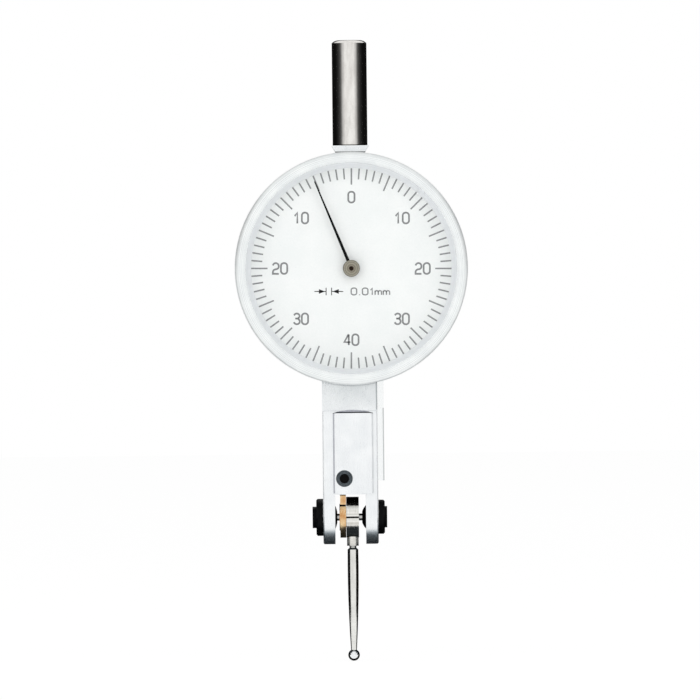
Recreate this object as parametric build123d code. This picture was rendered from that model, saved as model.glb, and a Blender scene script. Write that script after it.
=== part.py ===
from build123d import *
import math
import os

# A lever-type dial test indicator. X points right and the dial faces -Y, so "front" is the
# low-Y side. Z points up along the stem. The origin is on the stem's axis, at the shoulder
# where the stem meets the top dovetail. All sizes are millimetres.

# Mounting stem
stem_diameter = 6.0
stem_length = 18.2
stem_crown_height = 0.5
stem_crown_width = 1.2
spigot_diameter = 3.4
spigot_length = 3.0

# Dovetails, on three sides of the case
dovetail_width = 6.4
dovetail_height = 1.1
dovetail_angle = 30.0
dovetail_sink = 0.3
dovetail_corner = 0.45
panel_rise = 0.2
rail_rise = 2.35
rail_root = 1.0
pedestal_height = 0.8
relief_width = 0.26
relief_depth = 0.7

# Case
case_depth = 9.0
drum_setback = 0.7
drum_front = 5.5
drum_edge = 1.2
shoulder_height = 5.1
scoop_depth = 0.9
left_leg = 2.06
right_leg = 2.14
neck_edge = 0.2
neck_root = 2.0
fork_end = 4.65
movement_radius = 14.5
plate_lip = 2.3
spigot_wall = 1.62
left_wall = 1.38
right_wall = 1.33
tunnel_front = 3.2
tunnel_back = 2.7
slot_left = 3.22
slot_right = 2.09
slot_rise = 3.95
ceiling_thickness = 0.85
panel_bulge = 0.5
panel_bulge_width = 4.2

# Covers on the back
cover_thickness = 0.9
cover_lip = 2.5
neck_cover_drop = 2.3
neck_cover_gap = 0.5
neck_cover_ledge = 2.0
neck_cover_corner = 0.8
neck_window_margin = 0.9
neck_screw_inset = 0.2

# Bezel, glass and dial
bezel_front = 11.5
bezel_wall = 1.5
bezel_edge = 0.8
bezel_lip = 0.35
lip_thickness = 0.6
gasket_thickness = 0.2
glass_thickness = 0.8
dial_front = 8.0
dial_thickness = 0.4
rim_slope = 0.9
dial_hole_radius = 1.0
ring_thickness = 0.3
ring_width = 0.6
wire_thickness = 0.5
spigot_front = 7.2

# Contact lever and stylus
lever_disc_radius = 3.55
lever_left = 2.36
lever_thickness = 1.0
lever_boss_radius = 2.3
lever_boss_height = 0.12
arm_half_width = 2.85
arm_tip_half_width = 0.9
arm_window_radius = 1.1
arm_window_wall = 0.9
arm_tip_reach = 1.2
arm_gap = 0.35
journal_radius = 1.7
axle_radius = 0.6
axle_left_reach = 0.5
axle_right_reach = 0.1
axle_end_gap = 0.1
hub_radius = 3.5
hub_left = 1.31
hub_right = 0.85
hub_slit = 0.3
collar_radius = 1.0
collar_length = 1.45
stylus_thread_radius = 0.6
stylus_length = 23.77
groove_length = 0.5
groove_radius = 0.6
shank_radius = 0.93
shank_waist_radius = 0.86
shank_tip_radius = 0.5
ball_radius = 1.0

# Pivot bearings in the fork
bearing_shank_radius = 1.6
left_flange_radius = 3.2
left_flange_height = 1.2
left_boss_height = 0.65
right_flange_radius = 2.95
right_flange_height = 1.1
right_boss_height = 0.4
bearing_boss_radius = 1.85
left_dome_radius = 2.0
left_dome_height = 0.35
right_dome_radius = 2.05
right_dome_height = 0.68
bearing_edge = 0.25
bearing_key_width = 1.3

# Gear train
gear_module = 0.2
pressure_angle = 20.0
backlash = 0.045
sector_teeth = 336
pinion_teeth = 12
crown_teeth = 40
lever_ratio = 2.0
lever_travel_angle = 2.12
pivot_distance = 8.02
crown_axis_depth = 1.2
sector_gap = 0.4
sector_thickness = 0.6
sector_hub_radius = 1.5
sector_arm_width = 1.7
sector_rim = 1.2
sector_spare_teeth = 2
finger_width = 1.0
drive_pin_radius = 0.35
drive_pin_proud = 0.05
crown_thickness = 0.55
crown_rim = 0.6
crown_land = 0.1
crown_hub_radius = 1.1
crown_window_radius = 0.72
crown_window_shift = 0.25
pinion_length = 0.8
arbor_radius = 0.35
pivot_radius = 0.18
pivot_length = 0.6
jewel_radius = 0.7
jewel_thickness = 0.5
pivot_end_gap = 0.1
centre_jewel_radius = 0.9
rear_jewel_radius = 0.52

# Movement plate, brackets and hairspring
plate_thickness = 0.8
plate_back = 6.1
bracket_thickness = 0.7
bracket_inner = 3.0
bracket_gap = 0.4
bracket_half_width = 1.4
bracket_foot = 2.7
foot_thickness = 0.8
cock_half_width = 0.75
cock_front = 4.2
cock_thickness = 1.3
cock_foot_start = 5.4
cock_foot_end = 9.2
cock_foot_half_width = 1.5
spring_inner_radius = 0.9
spring_pitch = 0.65
spring_half_turns = 8
spring_band = 0.12
spring_height = 0.3
spring_place = 2.2
collet_radius = 0.7
collet_height = 0.6
stud_radius = 0.3

# Pointer
pointer_rest_angle = -22.3
pointer_length = 16.2
pointer_root_width = 0.58
pointer_tip_width = 0.2
pointer_thickness = 0.15
pointer_front = 9.3
pointer_hub_radius = 1.46
pointer_hub_height = 0.5
pointer_bush_radius = 0.6
pointer_bush_length = 0.5
pointer_arbor_sink = 0.15

# Screws
socket_screw_radius = 1.43
socket_screw_x = -1.57
socket_screw_rise = 2.75
socket_screw_seat = 0.3
socket_screw_proud = 0.45
socket_screw_shank = 0.7
socket_screw_reach = 1.9
socket_width = 1.55
socket_depth = 0.7
cover_screw_head = 0.85
cover_screw_head_height = 0.4
cover_screw_shank = 0.45
cover_screw_length = 2.0
cover_screw_count = 4
slot_width = 0.22

# Clearances
seat_clearance = 0.01
running_clearance = 0.03
slide_clearance = 0.08
drive_clearance = 0.02

# Round the dial, from the movement outwards to the bezel
plate_seat_radius = movement_radius + plate_lip
case_spigot = plate_seat_radius + spigot_wall
bezel_bore = case_spigot + slide_clearance
bezel_radius = bezel_bore + bezel_wall
drum_radius = bezel_radius - drum_setback
window_radius = bezel_bore - bezel_lip
dial_radius = window_radius - rim_slope
dial_drop = dovetail_height + pedestal_height + drum_radius
dial_z = -dial_drop
drum_bottom = dial_z - drum_radius

# The sector's pivot is set by the gear sizes, and the contact lever hangs below it
sector_radius = gear_module * sector_teeth / 2
pinion_radius = gear_module * pinion_teeth / 2
crown_radius = gear_module * crown_teeth / 2
crown_y = -crown_axis_depth
sector_z = dial_z - math.sqrt((sector_radius + pinion_radius) ** 2 - crown_axis_depth ** 2)
lever_z = sector_z - pivot_distance
upper_pin_z = sector_z + pivot_distance / (lever_ratio - 1)
lower_pin_z = sector_z - pivot_distance / (lever_ratio + 1)
mesh_lean = math.degrees(math.asin(crown_axis_depth / (sector_radius + pinion_radius)))
sector_pitch_angle = 360.0 / sector_teeth
sector_swing = lever_ratio * lever_travel_angle
sector_left_teeth = math.ceil(sector_swing / sector_pitch_angle) + sector_spare_teeth
sector_right_teeth = sector_spare_teeth
crown_mesh_y = crown_y - crown_radius
crown_face = pinion_radius + gear_module * 1.25

# Neck and fork, from the slot outwards and from the lever's pivot upwards
case_half = case_depth / 2
panel_front = case_half + dovetail_height
dovetail_root = dovetail_width - 2 * dovetail_height * math.tan(math.radians(dovetail_angle))
neck_left = slot_left + left_leg
neck_right = slot_right + right_leg
neck_middle = (neck_right - neck_left) / 2
tunnel_left = neck_left - left_wall
tunnel_right = neck_right - right_wall
slot_top = lever_z + slot_rise
step_z = drum_bottom - shoulder_height
panel_top = step_z - dovetail_corner
panel_bottom = slot_top + panel_rise
rail_bottom = slot_top + rail_rise
socket_screw_z = slot_top + socket_screw_rise
lever_right = lever_left - lever_thickness
axle_left_end = slot_left + axle_left_reach
axle_right_end = slot_right + axle_right_reach
sector_left = tunnel_left - sector_gap
sector_middle = sector_left - sector_thickness / 2
bracket_left_inner = sector_left + bracket_gap

# Along the dial's axis, from the case to the glass
bezel_back = drum_front + slide_clearance
glass_front = bezel_front - lip_thickness - gasket_thickness
glass_back = glass_front - glass_thickness
dial_back = dial_front - dial_thickness
bezel_groove = bezel_bore + ring_width / 2
wire_middle = (drum_front + spigot_front) / 2
plate_front = plate_back + plate_thickness
cover_radius = movement_radius + cover_lip
cover_seat = case_half - cover_thickness
screw_circle = movement_radius + cover_lip / 2
jewel_hole = pivot_radius + running_clearance


def along_x(radius, x0, x1, y=0.0, z=0.0):
    """A round bar along X."""
    return Pos((x0 + x1) / 2, y, z) * Rot(0, 90, 0) * Cylinder(radius, abs(x1 - x0))


def along_y(radius, y0, y1, x=0.0, z=0.0):
    """A round bar along Y."""
    return Pos(x, (y0 + y1) / 2, z) * Rot(90, 0, 0) * Cylinder(radius, abs(y1 - y0))


def along_z(radius, z0, z1, x=0.0, y=0.0):
    """A round bar along Z."""
    return Pos(x, y, (z0 + z1) / 2) * Cylinder(radius, abs(z1 - z0))


def block(x0, x1, y0, y1, z0, z1):
    """A box between two corners."""
    middle = Pos((x0 + x1) / 2, (y0 + y1) / 2, (z0 + z1) / 2)
    return middle * Box(abs(x1 - x0), abs(y1 - y0), abs(z1 - z0))


def ring_y(outer, inner, y0, y1, x=0.0, z=dial_z):
    """A flat ring round an axis along Y."""
    return along_y(outer, y0, y1, x, z) - along_y(inner, y0, y1, x, z)


def prism_x(outline, x0, x1):
    """A face drawn in (Y, Z), drawn out along X."""
    return extrude(Plane.YZ.offset(min(x0, x1)) * outline, amount=abs(x1 - x0))


def prism_y(outline, y0, y1):
    """A face drawn in (X, Z), drawn out along Y."""
    return extrude(Plane.XZ.offset(-max(y0, y1)) * outline, amount=abs(y1 - y0))


def prism_z(outline, z0, z1):
    """A face drawn in (X, Y), drawn out along Z."""
    return extrude(Plane.XY.offset(min(z0, z1)) * outline, amount=abs(z1 - z0))


def turned_y(points, x=0.0, z=dial_z):
    """A section of (radius, front distance) points, turned about an axis along Y."""
    outline = make_face(Polyline(*[(radius, -front) for radius, front in points], close=True))
    return Pos(x, 0, z) * revolve(outline, Axis.Y)


def about_x(shape, angle, y, z):
    """A shape turned about an axis along X."""
    return Pos(0, y, z) * Rot(angle, 0, 0) * Pos(0, -y, -z) * shape


def about_y(shape, angle, x=0.0, z=dial_z):
    """A shape turned about an axis along Y."""
    return Pos(x, 0, z) * Rot(0, angle, 0) * Pos(-x, 0, -z) * shape


def dovetail_section(width, root, height, sink):
    """Half-open dovetail: wide face at +height, narrow root at 0, and a stem that sinks below."""
    outline = Polyline(
        (-width / 2, height), (width / 2, height), (root / 2, 0),
        (root / 2, -sink), (-root / 2, -sink), (-root / 2, 0), close=True)
    return make_face(outline)


# Gear teeth

def involute(angle):
    return math.tan(angle) - angle


def tooth_half_angle(teeth, radius):
    """Half the angle that a tooth fills at a radius, in degrees, with involute flanks."""
    pitch = gear_module * teeth / 2
    flank = math.radians(pressure_angle)
    base = pitch * math.cos(flank)
    at_pitch = math.pi / (2 * teeth) - backlash / (2 * pitch)
    at_radius = math.acos(min(1.0, base / max(radius, base)))
    return math.degrees(at_pitch + involute(flank) - involute(at_radius))


def polar(radius, degrees):
    """A point at an angle that starts at the sketch's second axis."""
    angle = math.radians(degrees)
    return (-radius * math.sin(angle), radius * math.cos(angle))


def tooth_points(teeth, radii, at):
    """Up one flank of a tooth and down the other."""
    up = [polar(radius, at - tooth_half_angle(teeth, radius)) for radius in radii]
    down = [polar(radius, at + tooth_half_angle(teeth, radius)) for radius in reversed(radii)]
    return up + down


def pinion_face(phase):
    """The outline of a whole pinion, with a tooth at the phase angle."""
    root = pinion_radius - 1.25 * gear_module
    radii = [root, pinion_radius, pinion_radius + 0.6 * gear_module, pinion_radius + gear_module]
    points = []
    for index in range(pinion_teeth):
        points += tooth_points(pinion_teeth, radii, phase + 360.0 * index / pinion_teeth)
    return make_face(Polyline(*points, close=True))


def sector_face():
    """The toothed arc and its flared web, drawn about the sector's pivot at rest."""
    root = sector_radius - 1.25 * gear_module
    tip = sector_radius + 0.8 * gear_module
    inner = root - sector_rim
    first = mesh_lean - (sector_left_teeth + 0.5) * sector_pitch_angle
    last = mesh_lean + (sector_right_teeth + 0.5) * sector_pitch_angle
    points = [polar(inner, first), polar(root, first)]
    for index in range(-sector_left_teeth, sector_right_teeth + 1):
        points += tooth_points(sector_teeth, [root, tip], mesh_lean + index * sector_pitch_angle)
    points += [polar(root, last), polar(inner, last)]
    points += [(-sector_arm_width / 2, inner * 0.8), (sector_arm_width / 2, inner * 0.8)]
    return make_face(Polyline(*points, close=True))


# Screws

def slotted_screw(x, z, seat, length, head=cover_screw_head, height=cover_screw_head_height):
    """A cheese-head screw that points to the front, with its head seated at a Y."""
    screw = along_y(head, seat, seat + height, x, z)
    screw += along_y(cover_screw_shank, seat - length, seat, x, z)
    cut_bottom = seat + height * 0.45
    screw -= block(x - head, x + head, cut_bottom, seat + height, z - slot_width / 2, z + slot_width / 2)
    return screw


def screw_hole(x, z, seat, length):
    """The hole that such a screw fills."""
    return along_y(cover_screw_shank + seat_clearance, seat - length, seat, x, z)


def circle_places(count, radius, start):
    """Places round the dial's centre, as (x, z)."""
    angles = [math.radians(start + 360.0 * index / count) for index in range(count)]
    return [(radius * math.cos(angle), dial_z + radius * math.sin(angle)) for angle in angles]


cover_screw_places = circle_places(cover_screw_count, screw_circle, 45)
plate_screw_places = circle_places(3, (movement_radius + plate_seat_radius) / 2, 90)
neck_cover_bottom = slot_top + ceiling_thickness
neck_cover_half = (neck_left + neck_right) / 2 - neck_cover_gap
neck_cover_top = drum_bottom - neck_cover_drop
neck_screw_places = [
    (neck_middle + side * (neck_cover_half - neck_cover_ledge / 2 - neck_screw_inset), level)
    for side in (-1, 1)
    for level in (neck_cover_bottom + neck_cover_ledge / 2, neck_cover_top - neck_cover_ledge / 2)]
bracket_screw_x = (bracket_inner + bracket_thickness + bracket_foot / 2,
                   -(bracket_left_inner + bracket_thickness + bracket_foot / 2))
cock_screw_z = dial_z + (cock_foot_start + cock_foot_end) / 2


# Case

def neck_block():
    """Neck, shoulder and round-ended fork, from a side view."""
    shoulder = panel_front
    scoop = shoulder - scoop_depth
    top = drum_bottom + neck_root
    middle = (step_z + drum_bottom) / 2
    side = [
        Line((case_half, lever_z), (case_half, top)),
        Line((case_half, top), (-scoop, top)),
        Line((-scoop, top), (-scoop, drum_bottom)),
        ThreePointArc((-scoop, drum_bottom), (-scoop - scoop_depth * 0.3, middle), (-shoulder, step_z)),
        Line((-shoulder, step_z), (-case_half, step_z)),
        Line((-case_half, step_z), (-case_half, lever_z)),
        ThreePointArc((-case_half, lever_z), (0, lever_z - fork_end), (case_half, lever_z)),
    ]
    return prism_x(make_face(side), -neck_left, neck_right)


def front_dovetail():
    """The dovetail down the front, with its curved lower lip over the fork."""
    section = Rot(0, 0, 180) * dovetail_section(
        dovetail_width, dovetail_root, dovetail_height, dovetail_sink)
    rail = prism_z(Pos(0, -case_half) * section, panel_bottom, panel_top)
    corners = rail.faces().sort_by(Axis.Y)[0].vertices().group_by(Axis.Z)[-1]
    top_edges = [edge for edge in rail.edges().filter_by(GeomType.LINE)
                 if any(corner.distance_to(edge) < 1e-6 for corner in corners)
                 and abs(edge.tangent_at(0.5).Z) < 0.1 and abs(edge.tangent_at(0.5).Y) > 0.5]
    rail = fillet(top_edges, dovetail_corner)
    lip = make_face([
        Line((-panel_bulge_width / 2, panel_bottom), (panel_bulge_width / 2, panel_bottom)),
        ThreePointArc((panel_bulge_width / 2, panel_bottom), (0, panel_bottom - panel_bulge),
                      (-panel_bulge_width / 2, panel_bottom))])
    lip = Pos(-(slot_left - slot_right) / 2, 0) * lip
    return rail + prism_y(lip, -panel_front, -case_half)


def relief_grooves():
    """Narrow grooves beside and above the front dovetail."""
    floor = -case_half + relief_depth
    grooves = []
    for side in (-1, 1):
        edge = side * dovetail_width / 2
        outside = edge + side * relief_width
        grooves.append(block(edge, outside, -panel_front, floor, panel_bottom, panel_top))
    reach = dovetail_width / 2 + relief_width
    sag = make_face([
        Line((-reach, panel_top), (reach, panel_top)),
        ThreePointArc((reach, panel_top), (0, step_z + relief_width / 2), (-reach, panel_top))])
    grooves.append(prism_y(sag, -panel_front - 0.1, floor))
    return grooves


def side_dovetail():
    """The dovetail down the right side, which runs up under the bezel."""
    section = Rot(0, 0, -90) * dovetail_section(
        dovetail_width, dovetail_root, dovetail_height, dovetail_sink)
    return prism_z(Pos(neck_right, 0) * section, rail_bottom, drum_bottom + rail_root)


def top_dovetail():
    """The dovetail over the drum, which carries the stem."""
    sink = drum_radius * 0.2
    section = Pos(0, -dovetail_height) * dovetail_section(
        dovetail_width, dovetail_root, dovetail_height, sink)
    return prism_y(section, -case_half, case_half)


def body_case():
    """The milled case: drum, neck, fork and dovetails, hollow where the movement lies."""
    drum = along_y(drum_radius, -drum_front, case_half, z=dial_z)
    drum = fillet(drum.edges().sort_by(Axis.Y)[-1], drum_edge)
    neck = neck_block()
    long_edges = [edge for edge in neck.edges().filter_by(Axis.Z) if edge.center().Z < step_z]
    foot_edges = neck.edges().filter_by(GeomType.CIRCLE).sort_by(Axis.Z)[:2]
    neck = chamfer(long_edges + list(foot_edges), neck_edge)
    case = drum + neck + top_dovetail() + side_dovetail() + front_dovetail()
    case += along_y(case_spigot, -spigot_front, -drum_front, z=dial_z)
    for groove in relief_grooves():
        case -= groove
    case -= along_y(movement_radius, -spigot_front, case_half, z=dial_z)
    case -= along_y(plate_seat_radius, -spigot_front, -plate_back, z=dial_z)
    case -= along_y(cover_radius, cover_seat, case_half, z=dial_z)
    case -= ring_y(case_spigot, case_spigot - ring_width / 2 - seat_clearance,
                   -wire_middle - wire_thickness / 2, -wire_middle + wire_thickness / 2)
    case -= block(-tunnel_left, tunnel_right, -tunnel_front, tunnel_back,
                  neck_cover_bottom, dial_z - movement_radius * 0.8)
    case -= neck_cover_shape(0.0)
    window_half = neck_cover_half - neck_window_margin
    case -= block(neck_middle - window_half, neck_middle + window_half, tunnel_back, cover_seat,
                  neck_cover_bottom + neck_cover_ledge, neck_cover_top - neck_cover_ledge)
    case -= block(-slot_left, slot_right, -panel_front - 1, case_half + 1,
                  lever_z - case_depth, slot_top)
    case -= block(-lever_left - arm_gap, -lever_right + arm_gap, -tunnel_front, tunnel_front,
                  slot_top - 0.1, neck_cover_bottom + 0.1)
    case -= along_x(bearing_shank_radius + seat_clearance, -neck_left - 1, neck_right + 1, z=lever_z)
    for x0, x1 in ((-tunnel_left - 1.0, -tunnel_left), (tunnel_right, tunnel_right + 1.0)):
        case -= along_x(jewel_radius + seat_clearance, x0, x1, z=sector_z)
    case -= along_z(spigot_diameter / 2 + seat_clearance, -spigot_length - 0.2, 0)
    case -= along_y(socket_screw_shank + seat_clearance, -panel_front, -tunnel_front,
                    socket_screw_x, socket_screw_z)
    case -= along_y(socket_screw_radius + seat_clearance, -panel_front,
                    -case_half + socket_screw_seat, socket_screw_x, socket_screw_z)
    for x, z in cover_screw_places + neck_screw_places:
        case -= screw_hole(x, z, cover_seat, cover_screw_length - cover_thickness + 0.1)
    for x, z in plate_screw_places:
        case -= along_y(cover_screw_shank + seat_clearance, -plate_back,
                        -plate_back + cover_screw_length, x, z)
    return case


def stem():
    """The polished mounting stem, screwed into the top dovetail."""
    radius = stem_diameter / 2
    shoulder = stem_length - stem_crown_height
    section = make_face([
        Line((0, 0), (radius, 0)),
        Line((radius, 0), (radius, shoulder)),
        ThreePointArc((radius, shoulder),
                      (radius - stem_crown_width * 0.4, stem_length - stem_crown_height * 0.3),
                      (radius - stem_crown_width, stem_length)),
        Line((radius - stem_crown_width, stem_length), (0, stem_length)),
        Line((0, stem_length), (0, 0))])
    bar = revolve(Plane.XZ * section, Axis.Z)
    return bar + along_z(spigot_diameter / 2, -spigot_length, 0)


def back_cover():
    """The round cover on the back of the drum."""
    cover = along_y(cover_radius - seat_clearance * 3, cover_seat, case_half, z=dial_z)
    for x, z in cover_screw_places:
        cover -= screw_hole(x, z, case_half, cover_thickness)
        cover -= along_y(cover_screw_head + slide_clearance, case_half - cover_screw_head_height,
                         case_half, x, z)
    return cover


def neck_cover_shape(gap):
    """The outline of the cover behind the neck, less a gap all round."""
    half = neck_cover_half - gap
    plate = block(neck_middle - half, neck_middle + half, cover_seat, case_half,
                  neck_cover_bottom + gap, neck_cover_top - gap)
    return fillet(plate.edges().filter_by(Axis.Y), neck_cover_corner)


def neck_cover():
    """The plate that closes the neck from behind."""
    cover = neck_cover_shape(seat_clearance * 3)
    for x, z in neck_screw_places:
        cover -= screw_hole(x, z, case_half, cover_thickness)
        cover -= along_y(cover_screw_head + slide_clearance, case_half - cover_screw_head_height,
                         case_half, x, z)
    return cover


def cover_screws(places):
    """Flush slotted screws, one solid each."""
    seat = case_half - cover_screw_head_height
    return [slotted_screw(x, z, seat, cover_screw_length - cover_screw_head_height) for x, z in places]


def socket_screw():
    """The dark domed socket-head screw low on the front dovetail."""
    z = socket_screw_z
    seat = -case_half + socket_screw_seat
    crown = -panel_front - socket_screw_proud
    rim = -panel_front - socket_screw_proud * 0.25
    head = make_face([
        Line((0, seat), (socket_screw_radius, seat)),
        Line((socket_screw_radius, seat), (socket_screw_radius, rim)),
        ThreePointArc((socket_screw_radius, rim), (socket_screw_radius * 0.72, crown + 0.14), (0, crown)),
        Line((0, crown), (0, seat))])
    screw = Pos(socket_screw_x, 0, z) * revolve(head, Axis.Y)
    screw += along_y(socket_screw_shank, seat, seat + socket_screw_reach - socket_depth,
                     socket_screw_x, z)
    socket = prism_y(RegularPolygon(socket_width / 2, 6, major_radius=False),
                     crown - 1, crown + socket_depth)
    return screw - Pos(socket_screw_x, 0, z) * socket


def pivot_bearing(side, wall_outside, wall_inside, sizes):
    """A black bearing bush through one leg of the fork, with a domed inner nose."""
    flange_radius, flange_height, boss_height, dome_radius, dome_height = sizes
    outside = side * wall_outside
    inside = side * wall_inside
    flange = along_x(flange_radius, outside, outside + side * flange_height, z=lever_z)
    flange = chamfer(flange.edges().filter_by(GeomType.CIRCLE).sort_by(Axis.X)[-1 if side > 0 else 0],
                     bearing_edge)
    boss_start = outside + side * flange_height
    boss = along_x(bearing_boss_radius, boss_start, boss_start + side * boss_height, z=lever_z)
    bush = flange + boss + along_x(bearing_shank_radius, inside, outside, z=lever_z)
    nose = make_face([
        Line((inside, 0), (inside, dome_radius)),
        ThreePointArc((inside, dome_radius),
                      (inside - side * dome_height * 0.72, dome_radius * 0.68),
                      (inside - side * dome_height, axle_radius + 0.35)),
        Line((inside - side * dome_height, axle_radius + 0.35), (inside - side * dome_height, 0)),
        Line((inside - side * dome_height, 0), (inside, 0))])
    bush += Pos(0, 0, lever_z) * revolve(nose, Axis.X)
    bore_end = (axle_left_end if side < 0 else axle_right_end) + axle_end_gap
    bush -= along_x(axle_radius + running_clearance, inside - side * dome_height, side * bore_end,
                    z=lever_z)
    key_end = boss_start + side * boss_height
    key = prism_x(RegularPolygon(bearing_key_width / 2, 6, major_radius=False),
                  key_end - side * 0.7, key_end)
    return bush - Pos(0, 0, lever_z) * key


# Bezel, glass and dial

def bezel_ring():
    """The turning bezel: a lip at the front, a bore behind it and two ring grooves."""
    wire_front = wire_middle + wire_thickness / 2 + slide_clearance
    wire_back = wire_middle - wire_thickness / 2 - slide_clearance
    section = [
        (bezel_radius, bezel_back), (bezel_radius, bezel_front), (window_radius, bezel_front),
        (window_radius, bezel_front - lip_thickness), (bezel_bore, bezel_front - lip_thickness),
        (bezel_bore, dial_back), (bezel_groove, dial_back), (bezel_groove, dial_back - ring_thickness),
        (bezel_bore, dial_back - ring_thickness), (bezel_bore, wire_front),
        (bezel_groove, wire_front), (bezel_groove, wire_back), (bezel_bore, wire_back),
        (bezel_bore, bezel_back)]
    ring = turned_y(section)
    outer = [edge for edge in ring.edges().filter_by(GeomType.CIRCLE)
             if abs(edge.radius - bezel_radius) < 1e-3]
    outer = sorted(outer, key=lambda edge: edge.center().Y)
    ring = fillet(outer[0], bezel_edge)
    return ring


def crystal():
    """The flat glass."""
    return along_y(bezel_bore - seat_clearance, -glass_front, -glass_back, z=dial_z)


def crystal_gasket():
    """A thin seal between the lip and the glass."""
    return ring_y(bezel_bore - seat_clearance, window_radius, -glass_front - gasket_thickness,
                  -glass_front)


def dial_rim():
    """The sloping inner ring between the glass and the dial."""
    outer = bezel_bore - seat_clearance
    return turned_y([(outer, glass_back), (window_radius, glass_back),
                     (dial_radius, dial_front), (outer, dial_front)])


def dial_plate():
    """The dial, which turns with the bezel."""
    return ring_y(bezel_bore - seat_clearance, dial_hole_radius, -dial_front, -dial_back)


def dial_retaining_ring():
    """The split snap ring behind the dial."""
    outer = bezel_groove - seat_clearance
    ring = ring_y(outer, outer - ring_width, -dial_back, -dial_back + ring_thickness)
    return ring - block(
        -ring_width, ring_width, -dial_back - 1, -dial_back + 1, dial_z, dial_z + bezel_radius)


def bezel_retaining_wire():
    """The snap wire in the case spigot that keeps the bezel on."""
    inner = case_spigot - ring_width / 2
    ring = ring_y(inner + ring_width - slide_clearance * 2, inner, -wire_middle - wire_thickness / 2,
                  -wire_middle + wire_thickness / 2)
    return ring - block(-ring_width, ring_width, -spigot_front - 1, 0, dial_z, dial_z + bezel_radius)


# Contact lever and stylus

def contact_lever():
    """The brass lever: disc, boss, journal, and an arm that reaches up into the neck."""
    x0, x1 = -lever_left, -lever_right
    plate = along_x(lever_disc_radius, x0, x1, z=lever_z)
    shoulder = arm_half_width
    shoulder_z = slot_top - 0.2
    waist = arm_window_radius + arm_window_wall
    waist_z = neck_cover_bottom + 0.4
    waist_top = sector_z + arm_window_radius
    tip = arm_tip_half_width
    tip_z = upper_pin_z + arm_tip_reach
    left = [(-shoulder, lever_z), (-shoulder, shoulder_z), (-waist, waist_z),
            (-waist, waist_top), (-tip, tip_z)]
    right = [(-y, z) for y, z in reversed(left)]
    arm = Polyline(*left, *right, close=True)
    plate += prism_x(make_face(arm), x0, x1)
    plate += along_x(lever_boss_radius, x0 - lever_boss_height, x0, z=lever_z)
    plate += along_x(journal_radius, x1, hub_right, z=lever_z)
    plate -= along_x(axle_radius + seat_clearance, -slot_left, slot_right, z=lever_z)
    plate -= along_x(arm_window_radius, x0 - 1, x1 + 1, z=sector_z)
    for z in (upper_pin_z, lower_pin_z):
        plate -= along_x(drive_pin_radius + seat_clearance, x0 - 1, x1 + 1, z=z)
    return plate


def pivot_axle():
    """The steel axle that runs in both bearings."""
    return along_x(axle_radius, -axle_left_end, axle_right_end, z=lever_z)


def drive_pins():
    """Upper and lower pins; each drives the sector for one direction of the stylus."""
    x_left = -(sector_left + drive_pin_proud)
    return [along_x(drive_pin_radius, x_left, -lever_right, z=z) for z in (upper_pin_z, lower_pin_z)]


stylus_x = (hub_right - hub_left) / 2
hub_bottom = lever_z - hub_radius
collar_bottom = hub_bottom - collar_length
ball_z = lever_z - stylus_length


def stylus_hub():
    """The split clamp hub that grips the lever's journal by its own spring."""
    hub = along_x(hub_radius, -hub_left, hub_right, z=lever_z)
    hub += along_z(collar_radius, collar_bottom, lever_z, x=stylus_x)
    hub -= along_x(journal_radius + seat_clearance, -hub_left - 1, hub_right + 1, z=lever_z)
    hub -= block(-hub_left - 1, hub_right + 1, -hub_radius - 1, -journal_radius * 0.8,
                 lever_z - hub_slit / 2, lever_z + hub_slit / 2)
    hub -= along_z(stylus_thread_radius + seat_clearance, collar_bottom, hub_bottom, x=stylus_x)
    return hub


def stylus_shank():
    """The tapering shank, screwed into the hub's collar."""
    groove_bottom = collar_bottom - groove_length
    tip = ball_z + ball_radius * 0.8
    waist = groove_bottom + (tip - groove_bottom) * 0.55
    section = make_face([
        Line((0, hub_bottom - 0.1), (stylus_thread_radius, hub_bottom - 0.1)),
        Line((stylus_thread_radius, hub_bottom - 0.1), (stylus_thread_radius, collar_bottom)),
        Line((stylus_thread_radius, collar_bottom), (groove_radius, collar_bottom - 0.05)),
        Line((groove_radius, collar_bottom - 0.05), (groove_radius, groove_bottom + 0.15)),
        Line((groove_radius, groove_bottom + 0.15), (shank_radius, groove_bottom - 0.15)),
        ThreePointArc((shank_radius, groove_bottom - 0.15), (shank_waist_radius, waist),
                      (shank_tip_radius, tip)),
        Line((shank_tip_radius, tip), (0, tip)),
        Line((0, tip), (0, hub_bottom - 0.1))])
    shank = revolve(Plane.XZ * section, Axis.Z)
    shank = Pos(stylus_x, 0, 0) * shank
    return shank - Pos(stylus_x, 0, ball_z) * Sphere(ball_radius + seat_clearance)


def contact_ball():
    """The hard ball brazed to the shank."""
    return Pos(stylus_x, 0, ball_z) * Sphere(ball_radius)


# Gear train

def sector_lever():
    """The toothed sector on its long lever, with a short finger below the pivot."""
    x0, x1 = -sector_left, -sector_left + sector_thickness
    gap = drive_pin_radius + drive_clearance
    inner = sector_radius - 1.25 * gear_module - sector_rim
    plate = prism_x(sector_face(), x0, x1)
    plate += block(x0, x1, -gap - sector_arm_width, -gap, 0, pivot_distance * 1.2)
    plate += block(x0, x1, -sector_arm_width / 2, sector_arm_width / 2,
                   pivot_distance * 1.2, inner * 0.85)
    neck = make_face(Polyline(
        (-gap - sector_arm_width, pivot_distance * 1.1), (-gap, pivot_distance * 1.1),
        (sector_arm_width / 2, pivot_distance * 1.4), (-sector_arm_width / 2, pivot_distance * 1.4),
        close=True))
    plate += prism_x(neck, x0, x1)
    plate += along_x(sector_hub_radius, x0, x1)
    finger = lower_pin_z - sector_z - drive_pin_radius
    plate += block(x0, x1, gap, gap + finger_width, finger, 0)
    plate -= along_x(arbor_radius + seat_clearance, x0 - 1, x1 + 1)
    return Pos(0, 0, sector_z) * plate


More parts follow.
